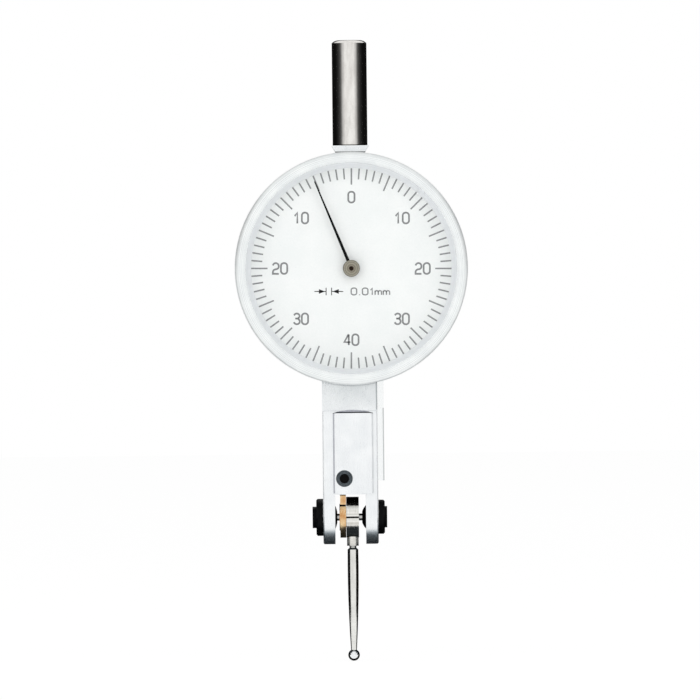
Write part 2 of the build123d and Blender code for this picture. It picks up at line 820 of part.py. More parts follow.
def turned_arbor(x0, x1, y, z):
    """An arbor along X with a thinner pivot at each end."""
    bar = along_x(arbor_radius, x0 + pivot_length, x1 - pivot_length, y, z)
    return bar + along_x(pivot_radius, x0, x1, y, z)


def sector_arbor():
    """The sector's arbor, across the neck."""
    reach = jewel_thickness + pivot_end_gap
    return turned_arbor(-tunnel_left - reach, tunnel_right + reach, 0, sector_z)


def jewel_x(x0, x1, y, z):
    """A ring jewel on an axis along X."""
    outer = along_x(jewel_radius, x0, x1, y, z)
    return outer - along_x(jewel_hole, min(x0, x1) - 1, max(x0, x1) + 1, y, z)


def sector_jewels():
    """Jewels set in the side walls of the neck."""
    return [jewel_x(-tunnel_left - jewel_thickness, -tunnel_left, 0, sector_z),
            jewel_x(tunnel_right, tunnel_right + jewel_thickness, 0, sector_z)]


def crown_arbor():
    """The crown wheel's arbor, with the pinion that the sector drives."""
    reach = jewel_thickness + pivot_end_gap
    arbor = turned_arbor(-bracket_left_inner - reach, bracket_inner + reach, crown_y, dial_z)
    phase = 180 + mesh_lean + 180.0 / pinion_teeth
    half = pinion_length / 2
    pinion = prism_x(pinion_face(phase), -sector_middle - half, -sector_middle + half)
    return arbor + Pos(0, crown_y, dial_z) * pinion


def crown_tooth():
    """One face tooth, pointing to +X, on the front side of the wheel."""
    slope = math.tan(math.radians(pressure_angle))
    at_pitch = math.pi * gear_module / 4 - backlash / 2
    addendum, dedendum = 0.8 * gear_module, 1.25 * gear_module
    tip, root = at_pitch - addendum * slope, at_pitch + dedendum * slope
    front = -pinion_radius + addendum
    back = -crown_face - 0.05
    outline = make_face(Polyline((back, -root), (front, -tip), (front, tip), (back, root), close=True))
    inner, outer = crown_radius - crown_rim / 2, crown_radius + crown_rim / 2
    return Pos(0, crown_y, dial_z) * prism_y(outline, -outer, -inner)


def crown_wheel():
    """The face gear: a spoked disc whose teeth point towards the centre pinion."""
    x1 = -crown_face
    x0 = x1 - crown_thickness
    outer = crown_radius + crown_rim / 2
    window_z = dial_z + (crown_hub_radius + outer) / 2 - crown_window_shift
    wheel = along_x(outer + crown_land, x0, x1, crown_y, dial_z)
    for index in range(4):
        hole = along_x(crown_window_radius, x0 - 1, x1 + 1, crown_y, window_z)
        wheel -= about_x(hole, 90.0 * index + 45, crown_y, dial_z)
    tooth = crown_tooth()
    wheel += [about_x(tooth, 360.0 * index / crown_teeth, crown_y, dial_z) for index in range(crown_teeth)]
    wheel += along_x(crown_hub_radius, x0 - 0.2, x1 + 0.1, crown_y, dial_z)
    return wheel - along_x(arbor_radius + seat_clearance, x0 - 1, x1 + 1, crown_y, dial_z)


def hairspring():
    """A flat spiral of half turns, each an arc about one of two centres."""
    x0, x1 = spring_place - spring_height / 2, spring_place + spring_height / 2
    spiral = None
    for index in range(spring_half_turns):
        radius = spring_inner_radius + index * spring_pitch / 2
        shift = 0 if index % 2 == 0 else spring_pitch / 2
        side = 1 if index % 2 == 0 else -1
        middle = crown_y - shift + spring_pitch / 4
        ring = along_x(radius + spring_band / 2, x0, x1, middle, dial_z)
        ring -= along_x(radius - spring_band / 2, x0, x1, middle, dial_z)
        half = ring & block(x0, x1, middle - radius * 2, middle + radius * 2,
                            dial_z, dial_z + side * radius * 2)
        spiral = half if spiral is None else spiral + half
    return spiral


def spring_end():
    """How far to the front the hairspring's outer end lies."""
    radius = spring_inner_radius + (spring_half_turns - 1) * spring_pitch / 2
    shift = 0 if spring_half_turns % 2 == 1 else spring_pitch / 2
    return crown_y - shift + spring_pitch / 4 - radius


def hairspring_collet():
    """The split collar that holds the hairspring's inner end."""
    x0, x1 = spring_place - collet_height / 2, spring_place + collet_height / 2
    collar = along_x(collet_radius, x0, x1, crown_y, dial_z)
    collar -= along_x(arbor_radius + seat_clearance, x0 - 1, x1 + 1, crown_y, dial_z)
    return collar - block(x0 - 1, x1 + 1, crown_y - 0.06, crown_y + 0.06, dial_z, dial_z + 1)


def hairspring_stud():
    """The post on the movement plate that holds the hairspring's outer end."""
    tip = spring_end() - spring_band / 2 - drive_clearance
    return along_y(stud_radius, -plate_back, tip, spring_place, dial_z)


def centre_arbor():
    """The pointer's arbor, with the pinion that the crown wheel drives."""
    rear = -cock_front + jewel_thickness + pivot_end_gap
    arbor = along_y(arbor_radius, -pointer_front + pointer_arbor_sink, -cock_front - 0.05, z=dial_z)
    arbor += along_y(pivot_radius, -cock_front - 0.1, rear, z=dial_z)
    phase = 90.0 + 180.0 / pinion_teeth
    half = pinion_length / 2
    pinion = prism_y(pinion_face(phase), crown_mesh_y - half, crown_mesh_y + half)
    return arbor + Pos(0, 0, dial_z) * pinion


# Movement plate and what stands on it

def movement_plate():
    """The round plate behind the dial that carries the whole gear train."""
    plate = along_y(plate_seat_radius - slide_clearance, -plate_front, -plate_back, z=dial_z)
    plate -= along_y(centre_jewel_radius + seat_clearance, -plate_front, -plate_back, z=dial_z)
    for x, z in plate_screw_places:
        plate -= along_y(cover_screw_shank + seat_clearance, -plate_front, -plate_back, x, z)
        plate -= along_y(cover_screw_head + slide_clearance, -plate_front,
                         -plate_front + cover_screw_head_height, x, z)
    for x in bracket_screw_x:
        plate -= screw_hole(x, dial_z, -plate_back, plate_thickness)
    plate -= screw_hole(0, cock_screw_z, -plate_back, plate_thickness)
    plate -= along_y(stud_radius + seat_clearance, -plate_front, -plate_back, spring_place, dial_z)
    return plate


def movement_plate_screws():
    """Three screws, heads to the front, sunk in the movement plate."""
    screws = []
    for x, z in plate_screw_places:
        seat = plate_front - cover_screw_head_height
        screw = slotted_screw(-x, z, seat, cover_screw_length - cover_screw_head_height)
        screws.append(Rot(0, 0, 180) * screw)
    return screws


def crown_bracket(side, inner):
    """An L bracket that holds one end of the crown arbor."""
    x0, x1 = side * inner, side * (inner + bracket_thickness)
    foot_end = side * (inner + bracket_thickness + bracket_foot)
    half = bracket_half_width
    wall = block(x0, x1, -plate_back, crown_y, dial_z - half, dial_z + half)
    wall += along_x(half, x0, x1, crown_y, dial_z)
    wall += block(x0, foot_end, -plate_back, -plate_back + foot_thickness, dial_z - half, dial_z + half)
    wall -= along_x(jewel_radius + seat_clearance, x0, side * (inner + jewel_thickness), crown_y, dial_z)
    wall -= along_x(jewel_hole, x0, x1, crown_y, dial_z)
    foot_middle = side * (inner + bracket_thickness + bracket_foot / 2)
    return wall - screw_hole(foot_middle, dial_z, -plate_back + foot_thickness, foot_thickness)


def crown_jewels():
    """The jewels at both ends of the crown arbor."""
    return [jewel_x(-bracket_left_inner - jewel_thickness, -bracket_left_inner, crown_y, dial_z),
            jewel_x(bracket_inner, bracket_inner + jewel_thickness, crown_y, dial_z)]


def centre_cock():
    """The bridge that holds the rear end of the pointer's arbor."""
    front, back = -cock_front, -cock_front + cock_thickness
    bar = block(-cock_half_width, cock_half_width, front, back, dial_z, dial_z + cock_foot_end)
    bar += along_y(cock_half_width, front, back, z=dial_z)
    foot = block(-cock_foot_half_width, cock_foot_half_width, -plate_back, back,
                 dial_z + cock_foot_start, dial_z + cock_foot_end)
    cock = bar + foot
    cock -= along_y(rear_jewel_radius + seat_clearance, front, front + jewel_thickness, z=dial_z)
    cock -= along_y(jewel_hole, front, back, z=dial_z)
    return cock - screw_hole(0, cock_screw_z, back, back + plate_back)


def centre_jewels():
    """The large jewel in the movement plate and the small one in the bridge."""
    front = along_y(centre_jewel_radius, -plate_front, -plate_back, z=dial_z)
    front -= along_y(arbor_radius + running_clearance, -plate_front - 1, -plate_back + 1, z=dial_z)
    rear = along_y(rear_jewel_radius, -cock_front, -cock_front + jewel_thickness, z=dial_z)
    rear -= along_y(jewel_hole, -cock_front - 1, -cock_front + 1, z=dial_z)
    return [front, rear]


def movement_screws():
    """The screws of both brackets and of the bridge."""
    foot = -plate_back + foot_thickness
    screws = [slotted_screw(x, dial_z, foot, foot_thickness + plate_thickness) for x in bracket_screw_x]
    back = -cock_front + cock_thickness
    screws.append(slotted_screw(0, cock_screw_z, back, back + plate_front))
    return screws


# Pointer

def pointer():
    """The tapered needle on a small ring."""
    needle = make_face(Polyline(
        (-pointer_root_width / 2, 0), (-pointer_tip_width / 2, pointer_length),
        (pointer_tip_width / 2, pointer_length), (pointer_root_width / 2, 0), close=True))
    outline = needle + Circle(pointer_hub_radius * 0.8)
    blade = prism_y(outline, -pointer_front, -pointer_front + pointer_thickness)
    blade -= along_y(pointer_bush_radius + seat_clearance, -pointer_front - 1, -pointer_front + 1)
    return about_y(Pos(0, 0, dial_z) * blade, pointer_rest_angle)


def pointer_hub():
    """The bush that carries the needle on its arbor, with its round cap."""
    back = -pointer_front + pointer_thickness + pointer_bush_length
    hub = along_y(pointer_bush_radius, -pointer_front, back, z=dial_z)
    cap = along_y(pointer_hub_radius, -pointer_front - pointer_hub_height, -pointer_front, z=dial_z)
    cap = chamfer(cap.edges().sort_by(Axis.Y)[0], pointer_hub_height * 0.3)
    hub += cap
    return hub - along_y(arbor_radius + seat_clearance, -bezel_front, back + 1, z=dial_z)


left_bearing_sizes = (left_flange_radius, left_flange_height, left_boss_height,
                      left_dome_radius, left_dome_height)
right_bearing_sizes = (right_flange_radius, right_flange_height, right_boss_height,
                       right_dome_radius, right_dome_height)

nodes = {
    "body_case": body_case(),
    "stem": stem(),
    "back_cover": back_cover(),
    "back_cover_screws": cover_screws(cover_screw_places),
    "neck_cover": neck_cover(),
    "neck_cover_screws": cover_screws(neck_screw_places),
    "front_socket_screw": socket_screw(),
    "left_pivot_bearing": pivot_bearing(-1, neck_left, slot_left, left_bearing_sizes),
    "right_pivot_bearing": pivot_bearing(1, neck_right, slot_right, right_bearing_sizes),
    "bezel_retaining_wire": bezel_retaining_wire(),
    "movement_plate": movement_plate(),
    "movement_plate_screws": movement_plate_screws(),
    "crown_bracket_left": crown_bracket(-1, bracket_left_inner),
    "crown_bracket_right": crown_bracket(1, bracket_inner),
    "centre_cock": centre_cock(),
    "movement_screws": movement_screws(),
    "crown_jewels": crown_jewels(),
    "centre_jewels": centre_jewels(),
    "sector_jewels": sector_jewels(),
    "hairspring_stud": hairspring_stud(),
    "bezel_ring": bezel_ring(),
    "crystal": crystal(),
    "crystal_gasket": crystal_gasket(),
    "dial_rim": dial_rim(),
    "dial_plate": dial_plate(),
    "dial_retaining_ring": dial_retaining_ring(),
    "contact_lever": contact_lever(),
    "pivot_axle": pivot_axle(),
    "drive_pins": drive_pins(),
    "stylus_hub": stylus_hub(),
    "stylus_shank": stylus_shank(),
    "contact_ball": contact_ball(),
    "sector_lever": sector_lever(),
    "sector_arbor": sector_arbor(),
    "crown_wheel": crown_wheel(),
    "crown_arbor": crown_arbor(),
    "hairspring": hairspring(),
    "hairspring_collet": hairspring_collet(),
    "centre_arbor": centre_arbor(),
    "pointer": pointer(),
    "pointer_hub": pointer_hub(),
}

os.makedirs("parts", exist_ok=True)
for name, shape in nodes.items():
    solids = shape if isinstance(shape, list) else [shape]
    export_step(Compound([solid for part in solids for solid in part.solids()]), f"parts/{name}.step")
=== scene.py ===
import math

import bmesh
import bpy
from mathutils import Matrix, Vector


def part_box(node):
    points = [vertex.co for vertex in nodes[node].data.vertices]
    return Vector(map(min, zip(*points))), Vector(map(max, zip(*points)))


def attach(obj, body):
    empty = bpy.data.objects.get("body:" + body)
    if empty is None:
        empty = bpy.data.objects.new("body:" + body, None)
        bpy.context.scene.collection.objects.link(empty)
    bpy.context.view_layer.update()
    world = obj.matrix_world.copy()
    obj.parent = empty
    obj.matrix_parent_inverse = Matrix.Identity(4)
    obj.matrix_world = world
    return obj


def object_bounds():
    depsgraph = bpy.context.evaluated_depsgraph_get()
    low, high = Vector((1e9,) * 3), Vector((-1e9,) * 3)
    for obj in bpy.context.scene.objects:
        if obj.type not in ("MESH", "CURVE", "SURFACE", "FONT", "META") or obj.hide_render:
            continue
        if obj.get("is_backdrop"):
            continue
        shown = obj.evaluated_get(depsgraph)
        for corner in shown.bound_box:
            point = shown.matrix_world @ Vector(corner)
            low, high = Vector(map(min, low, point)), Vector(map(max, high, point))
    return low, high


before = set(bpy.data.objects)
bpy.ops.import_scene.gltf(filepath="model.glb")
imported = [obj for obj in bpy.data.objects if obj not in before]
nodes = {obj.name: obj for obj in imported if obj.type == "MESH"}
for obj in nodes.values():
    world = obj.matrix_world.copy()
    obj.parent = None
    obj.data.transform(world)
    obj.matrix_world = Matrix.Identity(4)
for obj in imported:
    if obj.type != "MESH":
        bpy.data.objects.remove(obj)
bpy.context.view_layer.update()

# The looks of a lever-type dial test indicator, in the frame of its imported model: metres, X to
# the right, the dial facing -Y and Z up along the stem.

MM = 0.001

# The photograph's view: the indicator hangs turned by a small angle in its picture plane
CAMERA_ROLL = math.radians(0.6)
CAMERA_DISTANCE = 2.0
VIEW_WIDTH = 120.69 * MM
VIEW_CENTRE = Vector((-0.38 * MM, 0.0, -35.2 * MM))
SENSOR_WIDTH = 36.0
CLIP_START = 0.05
CLIP_END = 50.0

# Print on the dial. Its divisions stand upright in the picture, so they are turned with the camera.
DIVISIONS = 80
LONG_EVERY = 5
NUMBER_EVERY = 10
TICK_OUTER = 17.2 * MM
TICK_SHORT = 1.85 * MM
TICK_LONG = 2.8 * MM
TICK_WIDTH = 0.255 * MM
NUMBER_RADIUS = 12.25 * MM
NUMBER_HEIGHT = 1.85 * MM
NUMBER_STROKE = 0.30 * MM
DIGIT_WIDTH = 0.58
DIGIT_ADVANCE = 0.75
UNIT_HEIGHT = 1.17 * MM
UNIT_STROKE = 0.21 * MM
UNIT_LINE = -3.95 * MM
UNIT_STRETCH = 1.38
UNIT_PLACES = (("0", -0.03), (".", 1.42), ("0", 1.90), ("1", 3.20), ("m", 4.08), ("m", 5.48))
SMALL_M_HEIGHT = 0.62
SMALL_M_WIDTH = 0.93
MARK_BARS = (-4.34 * MM, -3.40 * MM)
MARK_BAR_HEIGHT = 1.3 * MM
MARK_HEAD = 0.95 * MM
MARK_HEAD_WIDTH = 0.80 * MM
MARK_TAIL = 2.0 * MM
MARK_GAP = 0.28 * MM
MARK_STROKE = 0.14 * MM
PRINT_PROUD = 0.015 * MM
PRINT_SUNK = 0.01 * MM
MITRE_MOST = 1.5
MITRE_SHARPEST = 0.1
SAME_POINT = 1e-9


def corners_of(name):
    """The lowest and highest corner of a node at rest."""
    low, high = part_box(name)
    return Vector(low), Vector(high)


dial_low, dial_high = corners_of("dial_plate")
DIAL_CENTRE = Vector(((dial_low.x + dial_high.x) / 2, dial_low.y, (dial_low.z + dial_high.z) / 2))
screw_low, screw_high = corners_of("front_socket_screw")
SCREW_CENTRE = (screw_low + screw_high) / 2
SOCKET_RADIUS = 0.82 * MM
hub_low, hub_high = corners_of("stylus_hub")
HUB_CENTRE = (hub_low + hub_high) / 2

# The pointer's hub is turned in steps: each step's radius and colour, from its rim to its bush. The
# colours are the steps' light and shade painted in as lighter and darker rings, the innermost a painted
# shade in the bush.
POINTER_HUB_STEP_SHADING = (
    (1.36 * MM, (152, 148, 135)), (1.09 * MM, (124, 120, 108)), (1.00 * MM, (152, 148, 134)),
    (0.72 * MM, (116, 110, 98)), (0.62 * MM, (140, 134, 121)), (0.40 * MM, (84, 70, 58)),
)


# Colours and materials

def linear(red, green, blue):
    """An sRGB colour of 0 to 255, as the shader's linear colour."""
    def channel(value):
        share = value / 255
        return share / 12.92 if share <= 0.04045 else ((share + 0.055) / 1.055) ** 2.4
    return (channel(red), channel(green), channel(blue), 1.0)


def math_node(tree, operation, *terms):
    """A Math node's result. Each term is a number or another node's output."""
    made = tree.nodes.new("ShaderNodeMath")
    made.operation = operation
    for socket, term in zip(made.inputs, terms):
        if isinstance(term, (int, float)):
            socket.default_value = term
        else:
            tree.links.new(term, socket)
    return made.outputs[0]


def map_range(tree, value, source=(0.0, 1.0), target=(0.0, 1.0)):
    """A value carried from one range to another, and held inside it."""
    made = tree.nodes.new("ShaderNodeMapRange")
    for name, limit in zip(("From Min", "From Max", "To Min", "To Max"), (*source, *target)):
        made.inputs[name].default_value = limit
    tree.links.new(value, made.inputs["Value"])
    return made.outputs["Result"]


def colour_ramp(tree, value, stops):
    """The colour of a value between stops, each a place and a linear colour."""
    ramp = tree.nodes.new("ShaderNodeValToRGB")
    elements = ramp.color_ramp.elements
    while len(elements) < len(stops):
        elements.new(1.0)
    for element, (place, colour) in zip(elements, stops):
        element.position = place
        element.color = colour
    tree.links.new(value, ramp.inputs["Fac"])
    return ramp.outputs["Color"]


SOCKET_NAMES = {"specular": "Specular IOR Level", "transmission": "Transmission Weight"}
# Noise stays near its middle: the parts of its range that colour and roughness spread over
COLOUR_RANGE = (0.38, 0.62)
ROUGHNESS_RANGE = (0.35, 0.65)


class Finish:
    """A Principled material whose colour, roughness and relief follow procedural patterns."""

    def __init__(self, name, metallic=0.0, ior=1.5, **constants):
        self.material = bpy.data.materials.new(name)
        self.material.use_nodes = True
        self.tree = self.material.node_tree
        self.shader = next(n for n in self.tree.nodes if n.type == "BSDF_PRINCIPLED")
        self.shader.inputs["Metallic"].default_value = metallic
        self.shader.inputs["IOR"].default_value = ior
        for socket, value in constants.items():
            self.shader.inputs[SOCKET_NAMES[socket]].default_value = value

    def node(self, kind, **settings):
        made = self.tree.nodes.new(kind)
        for key, value in settings.items():
            setattr(made, key, value)
        return made

    def link(self, output, target):
        self.tree.links.new(output, target)

    def place(self, origin=(0.0, 0.0, 0.0), stretch=(1.0, 1.0, 1.0)):
        """Object coordinates from an origin, stretched along each axis."""
        mapping = self.node("ShaderNodeMapping")
        mapping.inputs["Location"].default_value = [-o * s for o, s in zip(origin, stretch)]
        mapping.inputs["Scale"].default_value = stretch
        self.link(self.node("ShaderNodeTexCoord").outputs["Object"], mapping.inputs["Vector"])
        return mapping.outputs["Vector"]

    def grain(self, size, stretch=(1.0, 1.0, 1.0), detail=3.0):
        """Noise with features of a size, longer along an axis whose stretch is under 1."""
        noise = self.node("ShaderNodeTexNoise")
        noise.inputs["Scale"].default_value = 1 / size
        noise.inputs["Detail"].default_value = detail
        self.link(self.place(stretch=stretch), noise.inputs["Vector"])
        return noise.outputs[0]

    def axis_distance(self, centre, across):
        """The distance from an axis through a centre, in the plane that across names."""
        length = self.node("ShaderNodeVectorMath", operation="LENGTH")
        self.link(self.place(origin=centre, stretch=across), length.inputs[0])
        return length.outputs["Value"]

    def rings(self, pitch, centre, across, detail=2.0):
        """Turned lines: noise by the distance from an axis."""
        noise = self.node("ShaderNodeTexNoise", noise_dimensions="1D")
        noise.inputs["Scale"].default_value = 1 / pitch
        noise.inputs["Detail"].default_value = detail
        self.link(self.axis_distance(centre, across), noise.inputs["W"])
        return noise.outputs[0]

    def both(self, first, second, share=0.5):
        """Two patterns in one, the second with its share."""
        scaled = math_node(self.tree, "MULTIPLY", first, 1 - share)
        return math_node(self.tree, "MULTIPLY_ADD", second, share, scaled)

    def within_box(self, low, high):
        """1 inside a box of object coordinates, and 0 outside it."""
        centre = [(a + b) / 2 for a, b in zip(low, high)]
        stretch = [2 / (b - a) for a, b in zip(low, high)]
        away = self.node("ShaderNodeVectorMath", operation="ABSOLUTE")
        self.link(self.place(origin=centre, stretch=stretch), away.inputs[0])
        axes = self.node("ShaderNodeSeparateXYZ")
        self.link(away.outputs["Vector"], axes.inputs[0])
        largest = axes.outputs["X"]
        for axis in ("Y", "Z"):
            largest = math_node(self.tree, "MAXIMUM", largest, axes.outputs[axis])
        return math_node(self.tree, "LESS_THAN", largest, 1.0)

    def within_radius(self, radius, centre, across):
        """1 nearer to an axis than a radius, and 0 farther away."""
        return math_node(self.tree, "LESS_THAN", self.axis_distance(centre, across), radius)

    def change(self, socket, mask, value, kind, places):
        """Another value of a socket where the mask is 1. places are the Mix node's own sockets."""
        base = self.shader.inputs[socket]
        first, second, result = places
        mix = self.node("ShaderNodeMix", data_type=kind)
        self.link(mask, mix.inputs[0])
        self.link(base.links[0].from_socket, mix.inputs[first])
        mix.inputs[second].default_value = value
        self.link(mix.outputs[result], base)
        return self

    def stain(self, mask, colour):
        """Painted light and shade: another base colour where the mask is 1."""
        return self.change("Base Color", mask, colour, "RGBA", (6, 7, 2))

    def polish(self, mask, roughness):
        """Another roughness where the mask is 1."""
        return self.change("Roughness", mask, roughness, "FLOAT", (2, 3, 0))

    def colour(self, pattern, dark, light):
        """The base colour, between two by a pattern."""
        shown = colour_ramp(self.tree, pattern, tuple(zip(COLOUR_RANGE, (dark, light))))
        self.link(shown, self.shader.inputs["Base Color"])
        return self

    def rough(self, pattern, smoothest, roughest):
        """The roughness, between two by a pattern."""
        spread = map_range(self.tree, pattern, ROUGHNESS_RANGE, (smoothest, roughest))
        self.link(spread, self.shader.inputs["Roughness"])
        return self

    def relief(self, pattern, depth, strength=0.5):
        """A bump of a depth in metres."""
        bump = self.node("ShaderNodeBump")
        bump.inputs["Distance"].default_value = depth
        bump.inputs["Strength"].default_value = strength
        self.link(pattern, bump.inputs["Height"])
        self.link(bump.outputs["Normal"], self.shader.inputs["Normal"])
        return self


ACROSS_Y = (1.0, 0.0, 1.0)
ACROSS_X = (0.0, 1.0, 1.0)


def box_in_mm(low, high):
    """The corners of a box, given in millimetres."""
    return tuple(v * MM for v in low), tuple(v * MM for v in high)


# Places where the finishes paint in light and shade, as boxes round them
SIDE_DOVETAIL = box_in_mm((4.20, -4.0, -58.0), (5.322, 4.0, -40.6))
CASE_PAINTED_SHADING = (
    # the hollow of the neck, where the lever swings, painted near black as its shade
    (box_in_mm((-3.95, -3.70, -60.35), (2.95, 4.42, -20.0)), (12, 12, 13)),
    # painted shade in the grooves beside and above the front panel, and a darker painted shadow at the
    # foot of the second
    (box_in_mm((-3.55, -4.47, -60.0), (-3.15, -3.75, -46.1)), (206, 208, 214)),
    (box_in_mm((-3.6, -4.47, -45.82), (3.6, -3.75, -45.2)), (196, 198, 206)),
    (box_in_mm((-3.6, -4.47, -46.12), (3.6, -3.75, -45.82)), (70, 72, 78)),
    # the ground flanks of the side dovetail, painted lighter as if lit, and a painted shade along its
    # edge
    (SIDE_DOVETAIL, (253, 254, 254)),
    (box_in_mm((5.12, -4.0, -58.0), (5.322, 4.0, -45.2)), (200, 203, 203)),
    # painted shade along the neck's edge above it, and along the step over the front panel
    (box_in_mm((3.98, -9.0, -45.5), (4.222, -3.0, -36.0)), (182, 186, 189)),
    (box_in_mm((-6.0, -4.60, -45.66), (4.45, -4.47, -45.42)), (208, 211, 214)),
    # a painted shadow at the foot of the top dovetail
    (box_in_mm((-3.2, -5.0, -1.32), (3.2, 5.0, -1.02)), (140, 142, 142)),
)
STEM_FOOT_SHADE = box_in_mm((-3.2, -3.2, -0.5), (3.2, 3.2, 0.22))
# painted shade: in the seam between the lever's arm and its disc, and over the lever where it lies in
# the hub
LEVER_SEAM_SHADE = box_in_mm((-6.0, -6.0, -62.12), (3.0, 6.0, -61.80))
LEVER_IN_HUB_SHADE = box_in_mm((-1.31, -6.0, -72.0), (3.0, 6.0, -58.0))


def case_finish():
    """Satin-chromed casting: fine blasted grain under long, faint grinding marks, with light and shade
    painted into its hollow, grooves, edges and flanks.
    """
    finish = Finish("case_satin", metallic=0.96)
    blasted = finish.grain(0.09 * MM)
    ground = finish.grain(0.22 * MM, stretch=(1.0, 1.0, 0.06))
    cloud = finish.grain(3.0 * MM)
    surface = finish.both(blasted, ground, 0.45)
    finish.colour(finish.both(surface, cloud, 0.5), linear(236, 239, 241), linear(248, 250, 251))
    # paint the light and shade of the boxes above into the casting's colour
    for box, shade in CASE_PAINTED_SHADING:
        finish.stain(finish.within_box(*box), linear(*shade))
    finish.rough(surface, 0.22, 0.38)
    finish.polish(finish.within_box(*SIDE_DOVETAIL), 0.10)
    return finish.relief(surface, 0.006 * MM).material


def bezel_finish():
    """Satin-chromed ring with the lines of its turning."""
    finish = Finish("bezel_satin", metallic=0.25)
    turned = finish.rings(0.12 * MM, DIAL_CENTRE, ACROSS_Y)
    cloud = finish.grain(2.5 * MM)
    finish.colour(finish.both(turned, cloud, 0.4), linear(218, 222, 223), linear(234, 237, 236))
    finish.rough(turned, 0.24, 0.40)
    return finish.relief(turned, 0.004 * MM).material


def stem_finish():
    """Hardened stem, ground round: fine lines that circle it, and a painted shade ring at its foot."""
    finish = Finish("ground_steel", metallic=1.0)
    ground = finish.grain(0.05 * MM, stretch=(0.12, 0.12, 1.0), detail=4.0)
    cloud = finish.grain(0.9 * MM, stretch=(1.0, 1.0, 0.3))
    finish.colour(finish.both(ground, cloud, 0.7), linear(215, 212, 208), linear(238, 236, 232))
    # painted shade round the foot of the stem, where it meets the case
    finish.stain(finish.within_box(*STEM_FOOT_SHADE), linear(124, 122, 118))
    finish.rough(ground, 0.10, 0.15)
    return finish.relief(ground, 0.0008 * MM).material


def stylus_finish():
    """Turned and polished steel of the stylus."""
    finish = Finish("turned_steel", metallic=1.0)
    turned = finish.grain(0.05 * MM, stretch=(0.05, 0.05, 1.0), detail=4.0)
    cloud = finish.grain(1.0 * MM, stretch=(1.0, 1.0, 0.3))
    finish.colour(finish.both(turned, cloud, 0.6), linear(214, 214, 210), linear(240, 240, 236))
    finish.rough(turned, 0.10, 0.17)
    return finish.relief(turned, 0.0006 * MM).material


def hub_finish():
    """The hub that the stylus stands in, turned about the cross axis and faced."""
    finish = Finish("turned_hub", metallic=1.0)
    turned = finish.grain(0.06 * MM, stretch=(1.0, 0.05, 0.05), detail=4.0)
    faced = finish.rings(0.10 * MM, HUB_CENTRE, ACROSS_X)
    surface = finish.both(turned, faced, 0.5)
    finish.colour(surface, linear(205, 203, 196), linear(242, 241, 236))
    finish.rough(surface, 0.12, 0.26)
    return finish.relief(surface, 0.003 * MM).material


def ball_finish():
    """Lapped carbide ball, nearly a mirror."""
    finish = Finish("lapped_ball", metallic=1.0)
    haze = finish.grain(0.25 * MM)
    finish.colour(haze, linear(232, 235, 236), linear(244, 246, 247))
    return finish.rough(haze, 0.03, 0.09).material


def screw_finish(name, dark, light, socket=False):
    """Heat-treated screw steel with a machined face, and painted shade, near black, in its socket."""
    finish = Finish(name, metallic=0.9)
    grain = finish.grain(0.12 * MM)
    finish.colour(grain, dark, light)
    if socket:
        # painted shade in the socket
        finish.stain(finish.within_radius(SOCKET_RADIUS, SCREW_CENTRE, ACROSS_Y), linear(10, 10, 9))
    finish.rough(grain, 0.24, 0.42)
    return finish.relief(grain, 0.004 * MM).material


def bearing_finish():
    """Blackened bearing: a deep oxide with a slight sheen and rubbed high spots."""
    finish = Finish("black_oxide", specular=0.06)
    grain = finish.grain(0.10 * MM)
    rubbed = finish.grain(0.9 * MM, detail=5.0)
    finish.colour(finish.both(grain, rubbed, 0.6), linear(3, 4, 5), linear(13, 14, 15))
    finish.rough(grain, 0.30, 0.50)
    return finish.relief(grain, 0.006 * MM).material


def brass_finish(name, dark, light, size, shade_boxes=()):
    """Bright brass with drawn lines and a warmer cloud where it has tarnished, and painted shade in the
    given boxes.
    """
    finish = Finish(name, metallic=1.0)
    drawn = finish.grain(size, stretch=(1.0, 1.0, 0.08))
    tarnish = finish.grain(1.5 * MM, detail=4.0)
    finish.colour(finish.both(drawn, tarnish, 0.6), dark, light)
    # painted shade, near black, in each box
    for box in shade_boxes:
        finish.stain(finish.within_box(*box), linear(14, 12, 10))
    finish.rough(drawn, 0.20, 0.36)
    return finish.relief(drawn, 0.003 * MM).material


def dial_finish():
    """Matt white paint, with the slightest orange peel."""
    finish = Finish("dial_paint")
    peel = finish.grain(0.35 * MM)
    cloud = finish.grain(5.0 * MM)
    finish.colour(finish.both(peel, cloud, 0.6), linear(233, 236, 235), linear(238, 240, 239))
    finish.rough(peel, 0.55, 0.70)
    return finish.relief(peel, 0.003 * MM, 0.3).material


def rim_finish():
    """The sloping ring round the dial: painted a shade cooler than the dial."""
    finish = Finish("rim_paint")
    turned = finish.rings(0.10 * MM, DIAL_CENTRE, ACROSS_Y)
    finish.colour(turned, linear(228, 231, 234), linear(236, 239, 241))
    finish.rough(turned, 0.36, 0.50)
    return finish.relief(turned, 0.003 * MM).material


# The crystal's alpha from straight ahead and aslant, and how fast it rises between them
CRYSTAL_ALPHA = (0.008, 0.85)
CRYSTAL_POWER = 5.0


def crystal_finish():
    """Clear crystal: it shows what is behind it, and mirrors more where it is seen aslant."""
    finish = Finish("clear_crystal", transmission=1.0)
    haze = finish.grain(6.0 * MM)
    finish.colour(haze, linear(250, 253, 253), linear(254, 255, 255))
    finish.rough(haze, 0.0, 0.02)
    aslant = finish.node("ShaderNodeLayerWeight")
    aslant.inputs["Blend"].default_value = 0.5
    mirror = math_node(finish.tree, "POWER", aslant.outputs["Facing"], CRYSTAL_POWER)
    body = map_range(finish.tree, mirror, target=CRYSTAL_ALPHA)
    finish.link(body, finish.shader.inputs["Alpha"])
    return finish.material


def needle_finish():
    """Black lacquer of the pointer."""
    finish = Finish("pointer_lacquer", specular=0.05)
    grain = finish.grain(0.2 * MM)
    finish.colour(grain, linear(6, 7, 8), linear(16, 17, 18))
    return finish.rough(grain, 0.30, 0.45).material


